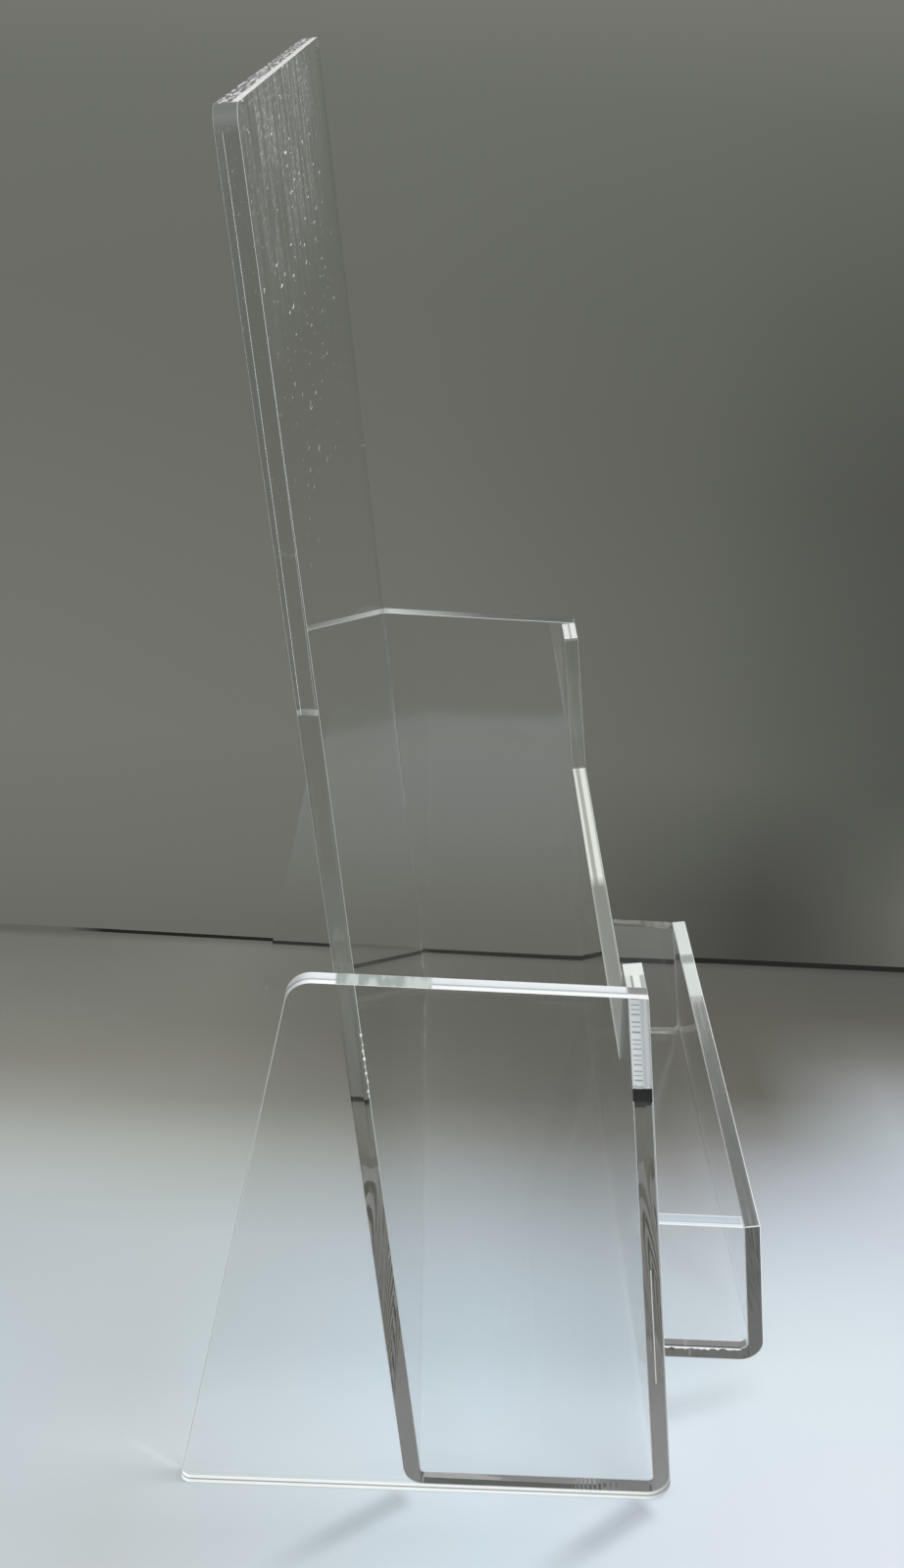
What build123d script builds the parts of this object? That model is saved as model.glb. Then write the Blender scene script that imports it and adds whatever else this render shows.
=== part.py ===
from build123d import *
from math import cos, radians, sin, tan
import os

# Clear acrylic leaflet holder with a card pocket on its front panel.
# Millimetres. X is the width, the front faces -Y, Z is up from the table.
# The profile is drawn with Y = 0 at the inside corner of the back bend.

# Bent main sheet: back panel, floor and front panel in one piece
sheet_thickness = 3.0
inside_width = 152.0
floor_depth = 41.0
back_height = 225.5
front_height = 105.0
back_lean = 8.6
front_lean = 8.6
bend_inside_radius = 0.8
back_corner_radius = 3.0

# Finger cut in the top of the front panel, leaving a short tab at each end.
# Its right side stands square, its left side slants in towards the middle.
cut_depth = 32.7
left_tab_width = 7.0
right_tab_width = 9.3
left_slant_run = 21.5
cut_corner_radius = 1.0
tab_corner_radius = 0.8

# Side plates, cemented over the ends of the main sheet
side_thickness = 3.0
foot_reach = 39.5
shoulder_reach = 6.5
shoulder_radius = 4.0
heel_radius = 1.5

# Card pocket on the front panel: a bent floor and lip with two end pieces
card_sheet_thickness = 3.0
card_pocket_width = 106.0
card_pocket_depth = 18.0
card_floor_height = 11.0
card_lip_height = 40.0
card_lip_lean = 9.3
card_bend_inside_radius = 1.2
card_end_thickness = 3.0

# Cemented faces meet with no gap
cement_gap = 0.0


def back_inner_y(z):
    return (z - sheet_thickness) * tan(radians(back_lean))


def back_outer_y(z):
    return back_inner_y(z) + sheet_thickness / cos(radians(back_lean))


def front_inner_y(z):
    return -floor_depth + (z - sheet_thickness) * tan(radians(front_lean))


def front_outer_y(z):
    return front_inner_y(z) - sheet_thickness / cos(radians(front_lean))


def lip_inner_y(z):
    lip_foot_y = front_outer_y(card_floor_height) - card_pocket_depth
    return lip_foot_y + (z - card_floor_height) * tan(radians(card_lip_lean))


def rounded_outline(corners, radii):
    """Polygon whose corners take the given radii, 0 for a sharp corner."""
    shape = Polygon(*corners, align=None)
    for corner, radius in zip(corners, radii):
        if radius > 0:
            vertex = shape.vertices().sort_by_distance((*corner, 0))[0]
            shape = fillet(vertex, radius)
    return shape


def shifted_line(line, distance):
    """Shift a run of straight lines to its right, mitred at its bends."""
    points = [Vector(*point) for point in line]
    runs = [(end - start).normalized() for start, end in zip(points, points[1:])]
    sides = [Vector(run.Y, -run.X) for run in runs]
    shifted = []
    for point, before, after in zip(points, sides[:1] + sides, sides + sides[-1:]):
        moved = point + (before + after) * (distance / (1 + before.dot(after)))
        shifted.append((moved.X, moved.Y))
    return shifted


def bent_sheet(inside_line, inside_radius, thickness, width):
    """Bend a flat strip along a line that runs over its inside faces."""
    outside_line = shifted_line(inside_line, thickness)
    bends = len(inside_line) - 2
    radii = [0, *[inside_radius] * bends, 0, 0, *[inside_radius + thickness] * bends, 0]
    profile = rounded_outline([*inside_line, *reversed(outside_line)], radii)
    return extrude(Plane.YZ * profile, amount=width / 2, dir=(1, 0, 0), both=True)


def plate(outline, thickness, inner_face_x, outward):
    """Cut a flat plate to an outline and stand its inner face at a given X."""
    face = Plane.YZ.offset(inner_face_x) * outline
    return extrude(face, amount=thickness, dir=(outward, 0, 0))


def main_sheet():
    # The square-cut end of the front panel tops out level with the side plates
    front_inner_top = front_height - sheet_thickness * sin(radians(front_lean))
    inside_line = [
        (front_inner_y(front_inner_top), front_inner_top),
        (-floor_depth, sheet_thickness),
        (0, sheet_thickness),
        (back_inner_y(back_height), back_height),
    ]
    sheet = bent_sheet(inside_line, bend_inside_radius, sheet_thickness, inside_width)
    sheet = round_back_corners(sheet)
    return cut_finger_notch(sheet, front_inner_top)


def round_back_corners(sheet):
    across_back = Axis((0, 0, 0), (0, cos(radians(back_lean)), -sin(radians(back_lean))))
    top_corners = sheet.edges().filter_by(across_back).sort_by(Axis.Z)[-2:]
    return fillet(top_corners, back_corner_radius)


def cut_finger_notch(sheet, panel_top):
    tilt = radians(front_lean)
    panel_plane = Plane(
        origin=(0, front_inner_y(panel_top), panel_top),
        x_dir=(1, 0, 0),
        z_dir=(0, -cos(tilt), sin(tilt)),
    )
    left = left_tab_width - inside_width / 2
    right = inside_width / 2 - right_tab_width
    corners = [
        (left, cut_depth),
        (left, 0),
        (left + left_slant_run, -cut_depth),
        (right, -cut_depth),
        (right, cut_depth),
    ]
    notch = rounded_outline(corners, [0, 0, cut_corner_radius, cut_corner_radius, 0])
    cutter = extrude(panel_plane * notch, amount=2 * sheet_thickness, both=True)
    sheet = sheet - cutter
    across_front = Axis((0, 0, 0), panel_plane.z_dir)
    for tab_edge in (left, right):
        tab_corner = (tab_edge, front_outer_y(front_height), front_height)
        short_edges = sheet.edges().filter_by(across_front)
        sheet = fillet(short_edges.sort_by_distance(tab_corner)[0], tab_corner_radius)
    return sheet


def side_plate(outward):
    corners = [
        (back_outer_y(0) + foot_reach, 0),
        (front_outer_y(0), 0),
        (front_outer_y(front_height), front_height),
        (back_outer_y(front_height) + shoulder_reach, front_height),
    ]
    toe_radius = bend_inside_radius + sheet_thickness
    outline = rounded_outline(corners, [heel_radius, toe_radius, 0, shoulder_radius])
    inner_face_x = outward * (inside_width / 2 + cement_gap)
    return plate(outline, side_thickness, inner_face_x, outward)


def card_pocket_sheet(front_sheet):
    # The floor starts inside the front panel and is trimmed to its outer face
    floor_start_y = front_outer_y(card_floor_height) + sheet_thickness / 2
    inside_line = [
        (lip_inner_y(card_lip_height), card_lip_height),
        (lip_inner_y(card_floor_height), card_floor_height),
        (floor_start_y, card_floor_height),
    ]
    tray = bent_sheet(inside_line, card_bend_inside_radius, card_sheet_thickness, card_pocket_width)
    return tray - front_sheet


def card_pocket_end(outward):
    corners = [
        (front_outer_y(card_floor_height), card_floor_height),
        (lip_inner_y(card_floor_height), card_floor_height),
        (lip_inner_y(card_lip_height), card_lip_height),
        (front_outer_y(card_lip_height), card_lip_height),
    ]
    outline = rounded_outline(corners, [0, card_bend_inside_radius, 0, 0])
    inner_face_x = outward * (card_pocket_width / 2 - card_end_thickness)
    return plate(outline, card_end_thickness, inner_face_x, outward)


body_sheet = main_sheet()
pieces = {
    "body_sheet": body_sheet,
    "side_plate_left": side_plate(-1),
    "side_plate_right": side_plate(1),
    "card_pocket_sheet": card_pocket_sheet(body_sheet),
    "card_pocket_end_left": card_pocket_end(-1),
    "card_pocket_end_right": card_pocket_end(1),
}

# Origin on the table, under the middle of the whole holder
whole = Compound(children=[Compound(piece.solids()) for piece in pieces.values()]).bounding_box()
to_centre = Pos(0, -(whole.min.Y + whole.max.Y) / 2, 0)

os.makedirs("parts", exist_ok=True)
for name, piece in pieces.items():
    export_step(to_centre * piece, f"parts/{name}.step")
    box = (to_centre * piece).bounding_box()
    print(f"{name}: {box.size.X:.1f} x {box.size.Y:.1f} x {box.size.Z:.1f} mm")
print(f"whole: {whole.size.X:.1f} x {whole.size.Y:.1f} x {whole.size.Z:.1f} mm")
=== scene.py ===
import bpy, bmesh, random
from math import atan2, cos, pi, radians, sin, tan
from mathutils import Matrix, Vector


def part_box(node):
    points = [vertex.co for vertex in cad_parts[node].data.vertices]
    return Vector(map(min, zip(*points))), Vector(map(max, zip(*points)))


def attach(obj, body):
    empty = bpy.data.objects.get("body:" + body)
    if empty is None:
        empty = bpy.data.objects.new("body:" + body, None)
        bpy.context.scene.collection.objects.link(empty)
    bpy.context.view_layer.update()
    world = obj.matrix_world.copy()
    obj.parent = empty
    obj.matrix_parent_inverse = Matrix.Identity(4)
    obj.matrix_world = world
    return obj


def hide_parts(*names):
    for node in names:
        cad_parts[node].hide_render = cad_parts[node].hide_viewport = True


# Clear acrylic leaflet holder with a card pocket. Metres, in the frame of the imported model.
# Left and right are as seen from the front, which faces -Y. The camera looks from the left end.
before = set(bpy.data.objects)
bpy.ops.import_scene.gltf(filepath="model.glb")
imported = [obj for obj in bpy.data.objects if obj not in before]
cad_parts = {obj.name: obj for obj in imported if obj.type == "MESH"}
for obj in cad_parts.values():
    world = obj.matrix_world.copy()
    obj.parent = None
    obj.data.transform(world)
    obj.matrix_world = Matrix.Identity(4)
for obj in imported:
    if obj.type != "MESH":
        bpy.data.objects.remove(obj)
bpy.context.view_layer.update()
scene = bpy.context.scene
print("frame loaded")

viewpoint = {
    "place": (-0.2910, 0.0216, 0.2445),
    "pitch": 26.43,  # degrees below level
    "yaw": 2.12,  # degrees towards the front of the holder
    "roll": 3.90,
    "lens": 38.99,
    "sensor": 36.0,
}


def placeCamera():
    pitch, yaw, roll = (radians(viewpoint[turn]) for turn in ("pitch", "yaw", "roll"))
    ahead = Vector((cos(pitch) * cos(yaw), -cos(pitch) * sin(yaw), -sin(pitch)))
    level = Vector((-sin(yaw), -cos(yaw), 0))
    above = Vector((sin(pitch) * cos(yaw), -sin(pitch) * sin(yaw), cos(pitch)))
    right = cos(roll) * level + sin(roll) * above
    up = cos(roll) * above - sin(roll) * level
    camera = bpy.data.objects.new("camera", bpy.data.cameras.new("camera"))
    scene.collection.objects.link(camera)
    camera.data.sensor_fit = "VERTICAL"
    camera.data.sensor_height = viewpoint["sensor"]
    camera.data.lens = viewpoint["lens"]
    camera.data.clip_start = 0.01
    turn = Matrix((right, up, -ahead)).transposed().to_4x4()
    camera.matrix_world = Matrix.Translation(viewpoint["place"]) @ turn
    scene.camera = camera


placeCamera()
print("camera")

sheet = {
    "thickness": 0.003,
    "lean": radians(8.6),  # of the back and front panels
    "floorDepth": 0.041,
    "bendRadius": 0.0008,  # on the inside
    "bendSteps": 10,
    "edgeRound": 0.00016,
    "cementGap": 0.00003,
    "narrowFace": 0.0008,  # only narrower faces, those of bends and corners, are shaded round
    "sharpFrom": radians(40),
}
bodyLow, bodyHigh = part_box("body_sheet")
plateLow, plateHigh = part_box("side_plate_right")
backHeight, frontHeight = bodyHigh[2], plateHigh[2]
panelUp = Vector((0, sin(sheet["lean"]), cos(sheet["lean"])))
panelBack = Vector((0, cos(sheet["lean"]), -sin(sheet["lean"])))


def backInner(z):
    top = bodyHigh[1] - sheet["thickness"] * cos(sheet["lean"])
    return top + (z - backHeight) * tan(sheet["lean"])


def backOuter(z):
    return backInner(z) + sheet["thickness"] / cos(sheet["lean"])


def frontInner(z):
    return backInner(z) - sheet["floorDepth"]


def frontOuter(z):
    return frontInner(z) - sheet["thickness"] / cos(sheet["lean"])


def arc(centre, radius, start, end, steps):
    turns = [start + (end - start) * i / steps for i in range(steps + 1)]
    return [centre + radius * Vector((cos(turn), sin(turn))) for turn in turns]


def roundedLoop(corners, radii, steps=8):
    # an outline with an arc at each corner that has a radius
    corners = [Vector(corner) for corner in corners]
    loop = []
    for i, (here, radius) in enumerate(zip(corners, radii)):
        if not radius:
            loop.append(here)
            continue
        before = (corners[i - 1] - here).normalized()
        after = (corners[(i + 1) % len(corners)] - here).normalized()
        half = before.angle(after) / 2
        centre = here + (before + after).normalized() * (radius / sin(half))
        start, end = (here + side * (radius / tan(half)) - centre for side in (before, after))
        first, last = atan2(start.y, start.x), atan2(end.y, end.x)
        last -= 2 * pi * round((last - first) / (2 * pi))  # the short way round
        loop += arc(centre, radius, first, last, steps)
    return loop


def shiftedLine(line, distance):
    # a run of straight lines moved to its right, mitred at its bends
    points = [Vector(point) for point in line]
    runs = [(b - a).normalized() for a, b in zip(points, points[1:])]
    sides = [Vector((run.y, -run.x)) for run in runs]
    return [point + (a + b) * (distance / (1 + a.dot(b)))
            for point, a, b in zip(points, sides[:1] + sides, sides + sides[-1:])]


def sheetLoop(line, radius, thickness):
    # a bent sheet's profile, with the arcs of each bend on one centre
    bends = len(line) - 2
    radii = [0] + [radius] * bends + [0, 0] + [radius + thickness] * bends + [0]
    return roundedLoop(line + shiftedLine(line, thickness)[::-1], radii, sheet["bendSteps"])


def openMesh(piece):
    bm = bmesh.new()
    bm.from_mesh(piece.data)
    return bm


def closeMesh(bm, piece):
    bm.to_mesh(piece.data)
    bm.free()


def solid(name, polygons):
    # corners that polygons share become one point
    points, faces = {}, []
    for polygon in polygons:
        face = []
        for point in polygon:
            key = tuple(round(c * 1e7) for c in point)
            face.append(points.setdefault(key, (len(points), tuple(point)))[0])
        faces.append(face)
    mesh = bpy.data.meshes.new(name)
    mesh.from_pydata([place for number, place in points.values()], [], faces)
    piece = bpy.data.objects.new(name, mesh)
    scene.collection.objects.link(piece)
    bm = openMesh(piece)
    bmesh.ops.recalc_face_normals(bm, faces=bm.faces)
    closeMesh(bm, piece)
    return piece


def standAt(x, outline):
    return [(x, point[0], point[1]) for point in outline]


def prism(name, loop, x0, x1, caps0=None, caps1=None):
    # an outline drawn out along X; its ends can be parted into several faces
    polygons = [standAt(x0, cap) for cap in caps0 or [loop]]
    polygons += [standAt(x1, cap) for cap in caps1 or [loop]]
    for p, q in zip(loop, loop[1:] + loop[:1]):
        polygons.append(standAt(x0, [p, q]) + standAt(x1, [q, p]))
    return solid(name, polygons)


def cutAway(piece, cutter):
    cut = piece.modifiers.new("cut", "BOOLEAN")
    cut.object = cutter
    cut.solver = "EXACT"
    depsgraph = bpy.context.evaluated_depsgraph_get()
    mesh = bpy.data.meshes.new_from_object(piece.evaluated_get(depsgraph))
    mesh.name = piece.name
    piece.modifiers.clear()
    piece.data = mesh
    bpy.data.objects.remove(cutter)


def score(piece, point, normal):
    # an edge right across the piece, so that its faces can change finish there
    bm = openMesh(piece)
    geometry = list(bm.verts) + list(bm.edges) + list(bm.faces)
    bmesh.ops.bisect_plane(bm, geom=geometry, plane_co=point, plane_no=normal, dist=1e-6)
    closeMesh(bm, piece)


def roundCorner(piece, place, radius, steps=6):
    bm = openMesh(piece)
    edge = min(bm.edges, key=lambda e: ((e.verts[0].co + e.verts[1].co) / 2 - place).length)
    bmesh.ops.bevel(bm, geom=[edge], offset=radius, segments=steps, profile=0.5, affect="EDGES")
    closeMesh(bm, piece)


def finishNumber(piece, finish):
    # a piece takes up a finish when one of its faces first has it
    material = finishes[finish]
    if material.name not in piece.data.materials:
        piece.data.materials.append(material)
    return piece.data.materials.find(material.name)


def finishFaces(piece, finishOf, isSharp=lambda place: False, rounding=sheet["edgeRound"], rim="arris"):
    # finishes for the faces, and a softened edge wherever the piece isn't cemented or kept sharp
    piece.data.materials.clear()
    joined = finishNumber(piece, "joined")
    bm = openMesh(piece)
    for face in bm.faces:
        narrowest = min(edge.calc_length() for edge in face.edges)
        face.smooth = len(face.verts) == 4 and narrowest < sheet["narrowFace"]
        face.material_index = finishNumber(piece, finishOf(face.calc_center_median(), face.normal))
    weight = bm.edges.layers.float.new("bevel_weight_edge")
    for edge in bm.edges:
        sharp = len(edge.link_faces) == 2 and edge.calc_face_angle() > sheet["sharpFrom"]
        touching = any(face.material_index == joined for face in edge.link_faces)
        middle = (edge.verts[0].co + edge.verts[1].co) / 2
        edge[weight] = 1.0 if sharp and not touching and not isSharp(middle) else 0.0
        edge.smooth = not sharp
    closeMesh(bm, piece)
    soften = piece.modifiers.new("softened edges", "BEVEL")
    soften.width = rounding
    soften.segments = 2
    soften.limit_method = "WEIGHT"
    soften.material = finishNumber(piece, rim)


def addStrips(piece, strips, finish):
    number = finishNumber(piece, finish)
    bm = openMesh(piece)
    for strip in strips:
        bm.faces.new([bm.verts.new(point) for point in strip]).material_index = number
    closeMesh(bm, piece)


def standsFor(piece, node):
    # nothing on the holder moves, so every piece rides on its one body
    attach(piece, "root")
    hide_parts(node)


def feed(tree, socket, value):
    # a number, a vector, a color or what another node puts out
    if isinstance(value, bpy.types.NodeSocket):
        tree.links.new(value, socket)
    elif socket.type == "RGBA":
        socket.default_value = (*value, 1)
    else:
        socket.default_value = value


def reckon(tree, operation, *values):
    node = tree.nodes.new("ShaderNodeMath")
    node.operation = operation
    for socket, value in zip(node.inputs, values):
        feed(tree, socket, value)
    return node.outputs[0]


def times(tree, first, *others):
    for other in others:
        first = reckon(tree, "MULTIPLY", first, other)
    return first


def vectorNode(tree, operation, first, second, output):
    node = tree.nodes.new("ShaderNodeVectorMath")
    node.operation = operation
    feed(tree, node.inputs[0], first)
    feed(tree, node.inputs[1], second)
    return node.outputs[output]


def between(tree, value, low, high, way="LINEAR", top=1.0):
    # 0 at low, top at high
    node = tree.nodes.new("ShaderNodeMapRange")
    node.interpolation_type = way
    for name, setting in (("Value", value), ("From Min", low), ("From Max", high), ("To Max", top)):
        feed(tree, node.inputs[name], setting)
    return node.outputs["Result"]


def blend(tree, share, first, second, way="MIX"):
    node = tree.nodes.new("ShaderNodeMix")
    node.data_type = "RGBA"
    node.blend_type = way
    feed(tree, node.inputs[0], share)
    feed(tree, node.inputs["A"], first)
    feed(tree, node.inputs["B"], second)
    return node.outputs["Result"]


def tones(tree, value, stops):
    # each stop is a place from 0 to 1 and a gray or color there
    node = tree.nodes.new("ShaderNodeValToRGB")
    elements = node.color_ramp.elements
    while len(elements) < len(stops):
        elements.new(0.5)
    for element, (place, tone) in zip(elements, stops):
        element.position = place
        element.color = (*tone, 1) if isinstance(tone, tuple) else (tone, tone, tone, 1)
    tree.links.new(value, node.inputs["Fac"])
    return node.outputs["Color"]


def placeIn(tree):
    return tree.nodes.new("ShaderNodeTexCoord").outputs["Object"]


def axesIn(tree):
    split = tree.nodes.new("ShaderNodeSeparateXYZ")
    tree.links.new(placeIn(tree), split.inputs[0])
    return split.outputs


def newGroup(name, inputs):
    group = bpy.data.node_groups.new(name, "ShaderNodeTree")
    for label, kind in inputs.items():
        group.interface.new_socket(label, in_out="INPUT", socket_type="NodeSocket" + kind)
    group.interface.new_socket("Mask", in_out="OUTPUT", socket_type="NodeSocketFloat")
    given = group.nodes.new("NodeGroupInput").outputs
    return group, given, group.nodes.new("NodeGroupOutput").inputs["Mask"]


def useGroup(tree, group, *values):
    node = tree.nodes.new("ShaderNodeGroup")
    node.node_tree = group
    for socket, value in zip(node.inputs, values):
        feed(tree, socket, value)
    return node.outputs["Mask"]


def makeAlongGroup():
    # how far along an axis of the holder, 0 at From and 1 at To
    inputs = {"Axis": "Vector", "From": "Float", "To": "Float"}
    group, given, mask = newGroup("along the holder", inputs)
    reach = vectorNode(group, "DOT_PRODUCT", placeIn(group), given["Axis"], "Value")
    group.links.new(between(group, reach, given["From"], given["To"]), mask)
    return group


def makeGrainGroup():
    # noise with its own number of marks to the metre along X, Y and Z
    inputs = {"Marks": "Vector", "Detail": "Float", "Roughness": "Float"}
    group, given, mask = newGroup("acrylic grain", inputs)
    noise = group.nodes.new("ShaderNodeTexNoise")
    noise.inputs["Scale"].default_value = 1.0
    marks = vectorNode(group, "MULTIPLY", placeIn(group), given["Marks"], "Vector")
    group.links.new(marks, noise.inputs["Vector"])
    for setting in ("Detail", "Roughness"):
        group.links.new(given[setting], noise.inputs[setting])
    group.links.new(noise.outputs["Fac"], mask)
    return group


alongGroup = makeAlongGroup()
grainGroup = makeGrainGroup()


def along(tree, axis, low, high):
    return useGroup(tree, alongGroup, axis, low, high)


def grain(tree, marks, detail, roughness=0.5):
    return useGroup(tree, grainGroup, marks, detail, roughness)


def throughPanel(tree, innerFace, away):
    # from a leaning panel's inside face to its outside face
    start = innerFace(0) * panelBack.y * away
    return along(tree, panelBack * away, start, start + sheet["thickness"])


acrylic = {
    "color": (0.997, 0.998, 0.998),
    "ior": 1.49,
    "lampsThrough": (0.95, 0.955, 0.955),  # share of the lamps' light that each face lets past
    "lampsThroughCut": (0.55, 0.56, 0.56),
    "cutRoughness": 0.10,
    "lengthwiseMarks": (1500.0, 60.0, 60.0),  # to the metre
    "crosswiseMarks": (60.0, 1100.0, 1100.0),
    "sawSharpness": (0.35, 0.68),
    "sawStrength": 0.25,
    "sawDepth": 0.00006,
    "sawTones": ((0.0, (0.93, 0.94, 0.94)), (1.0, 1.0)),
}


def newMaterial(name):
    material = bpy.data.materials.new(name)
    material.use_nodes = True
    return material, material.node_tree, material.node_tree.nodes["Principled BSDF"]


def layOver(tree, share, top):
    # another shader over what the surface has so far
    surface = tree.nodes["Material Output"].inputs["Surface"]
    under = surface.links[0].from_socket
    mixed = tree.nodes.new("ShaderNodeMixShader")
    for socket, value in zip(mixed.inputs, (share, under, top.outputs[0])):
        tree.links.new(value, socket)
    tree.links.new(mixed.outputs[0], surface)


def clearAcrylic(name, roughness=0.0, lampsThrough=acrylic["lampsThrough"]):
    material, tree, shader = newMaterial(name)
    shader.inputs["Base Color"].default_value = (*acrylic["color"], 1)
    shader.inputs["Transmission Weight"].default_value = 1.0
    shader.inputs["Roughness"].default_value = roughness
    shader.inputs["IOR"].default_value = acrylic["ior"]
    # lamps and bounced light pass straight through, so that the table under the holder stays bright
    rays = tree.nodes.new("ShaderNodeLightPath").outputs
    past = tree.nodes.new("ShaderNodeBsdfTransparent")
    past.inputs["Color"].default_value = (*lampsThrough, 1)
    layOver(tree, reckon(tree, "MAXIMUM", rays["Is Shadow Ray"], rays["Is Diffuse Ray"]), past)
    return material


def dullCut(name, transmission, roughness=0.45):
    # a sawn, scraped or chipped face, which carries a tone of its own
    material = clearAcrylic(name, roughness, acrylic["lampsThroughCut"])
    material.node_tree.nodes["Principled BSDF"].inputs["Transmission Weight"].default_value = transmission
    return material


def paint(material, tone):
    tree = material.node_tree
    feed(tree, tree.nodes["Principled BSDF"].inputs["Base Color"], tone)
    return material


def tinted(tree, tone, tint):
    return blend(tree, 1.0, tone, tint, "MULTIPLY")


def sawnClear(name, sawMarks):
    material = clearAcrylic(name, acrylic["cutRoughness"], acrylic["lampsThroughCut"])
    tree = material.node_tree
    marks = between(tree, grain(tree, sawMarks, 2.0, 0.6), *acrylic["sawSharpness"])
    bump = tree.nodes.new("ShaderNodeBump")
    bump.inputs["Strength"].default_value = acrylic["sawStrength"]
    bump.inputs["Distance"].default_value = acrylic["sawDepth"]
    tree.links.new(marks, bump.inputs["Height"])
    tree.links.new(bump.outputs["Normal"], tree.nodes["Principled BSDF"].inputs["Normal"])
    return paint(material, tones(tree, marks, acrylic["sawTones"]))


def cementedFace(name):
    # optical contact: the two faces of a good joint can't be seen
    material, tree, shader = newMaterial(name)
    shader.inputs["Alpha"].default_value = 0.0
    return material


finishes = {
    "polished": clearAcrylic("clear_acrylic"),
    "joined": cementedFace("cemented_face"),
    "arris": dullCut("arris", 0.40, 0.38),
    "sawnLengthwise": sawnClear("clear_cut_lengthwise", acrylic["lengthwiseMarks"]),
    "sawnCrosswise": sawnClear("clear_cut_crosswise", acrylic["crosswiseMarks"]),
    "whiteCement": paint(dullCut("white_cement", 0.0), (1.0, 1.0, 0.99)),
    "darkCement": paint(dullCut("dark_cement", 0.0), (0.02, 0.02, 0.019)),
    "jointLine": paint(dullCut("joint_line", 0.0), (0.56, 0.585, 0.585)),
}
print("acrylic")

bodySheet = {
    "backCorner": 0.003,
    "cutDepth": 0.0327,  # of the finger cut, down the front panel
    "leftTab": 0.007,
    "rightTab": 0.0093,
    "slantRun": 0.0215,
    "cutCorner": 0.001,
    "tabCorner": 0.0008,
    # the left joint
    "jointLine": 0.00013,
    "cementLine": (0.026, 0.051),
    "bubbles": 11,
    "bubblesBetween": (0.0832, 0.0950),
    "bubbleSizes": (0.00022, 0.00045),
    "bubblesAside": 0.0002,
    "dryFrom": 0.0875,  # above here the cement never ran in
    "dryRises": (0.0, 0.0006, -0.0002, 0.0004, -0.0003, 0.0007, 0.0001),
    "dryFoot": (0.0848, 0.0872),  # dark between these heights
    "dryFootRise": 0.0002,  # towards the outside face
    # the sawn end that shows in the dry joint
    "sawSteps": 1000.0,  # to the metre
    "sawUneven": 400.0,
    "sawStepTones": ((0.16, (0.42, 0.46, 0.47)), (0.30, (0.97, 0.98, 0.98))),
    "sawPlainTones": ((0.56, (0.97, 0.98, 0.98)), (0.60, (0.74, 0.78, 0.78)), (0.74, (0.74, 0.78, 0.78)),
                      (0.80, (0.90, 0.92, 0.92)), (1.0, (0.86, 0.89, 0.89))),
    "sawStepsShow": ((0.10, 0.0), (0.16, 1.0), (0.54, 1.0), (0.58, 0.0)),
    # the finger cut's floor, sawn dull at its left end and polished with a flame at its right
    "flamedTones": ((0.20, 0.95), (0.26, 0.38), (0.33, 0.52), (0.47, 0.48), (0.54, 1.0),
                    (0.84, 1.0), (0.90, 0.6)),
    "sawnTones": ((0.06, 0.50), (0.12, 0.31), (0.86, 0.30), (0.93, 0.48)),
    "flamedFrom": (0.0110, 0.0155),
    "floorTint": (0.95, 0.99, 0.90),
    # the tops of the two tabs
    "leftTabTones": ((0.0, 0.6), (0.09, 0.85), (0.27, 0.85), (0.28, 0.35), (0.38, 0.35), (0.41, 0.97),
                     (0.73, 0.97), (0.76, 0.50), (1.0, 0.55)),
    "leftTabPale": ((-0.0726, -0.0722), (0.93, 0.94, 0.94)),
    "rightTabTones": ((0.0, 0.7), (0.08, 1.0), (0.42, 1.0), (0.46, 0.45), (0.54, 0.45), (0.58, 1.0),
                      (0.92, 1.0), (1.0, 0.7)),
    "tabTint": (0.96, 1.0, 0.97),
    # the back panel's top, chipped all over, with a painted highlight along its front edge
    "chipMarks": (260.0, 2600.0, 2600.0),
    "chipTones": ((0.0, 0.12), (0.40, 0.20), (0.52, 0.32), (0.57, 0.85), (1.0, 1.0)),
    "frontEdgeGlint": ((0.28, 1.0), (0.34, 0.0)),
}
scuffs = {
    "from": (0.155, 0.205),  # heights between which they set in
    "alongX": ((0.0, 0.3), (0.10, 0.8), (0.3, 1.0), (0.62, 1.0), (0.80, 0.35), (1.0, 0.0)),
    # marks to the metre along X, Y and Z, and how strongly they show
    "spots": (170.0, 0.0, 1000.0),
    "spotTones": ((0.665, 0.0), (0.71, 0.7), (1.0, 1.0)),
    "hazeFrom": (0.190, 0.216),
    "streaks": (300.0, 0.0, 1500.0),
    "streakTones": ((0.0, 0.06), (0.48, 0.07), (0.62, 0.17), (0.72, 0.38), (1.0, 0.6)),
    "trails": (330.0, 0.0, 70.0),
    "trailTones": ((0.0, 0.10), (0.44, 0.20), (0.60, 1.0)),
    "dust": (0.85, 0.87, 0.86),
}


def openSawnEnd(name):
    # white, with dark steps over its middle
    material = dullCut(name, 0.08, 0.5)
    tree = material.node_tree
    height = axesIn(tree)["Z"]
    uneven = tree.nodes.new("ShaderNodeTexNoise")
    uneven.noise_dimensions = "1D"
    uneven.inputs["Scale"].default_value = bodySheet["sawUneven"]
    uneven.inputs["Detail"].default_value = 0.0
    tree.links.new(height, uneven.inputs["W"])
    counted = reckon(tree, "MULTIPLY_ADD", height, bodySheet["sawSteps"], uneven.outputs["Fac"])
    steps = tones(tree, reckon(tree, "FRACT", counted), bodySheet["sawStepTones"])
    share = throughPanel(tree, frontInner, -1)
    plain = tones(tree, share, bodySheet["sawPlainTones"])
    return paint(material, blend(tree, tones(tree, share, bodySheet["sawStepsShow"]), plain, steps))


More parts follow.
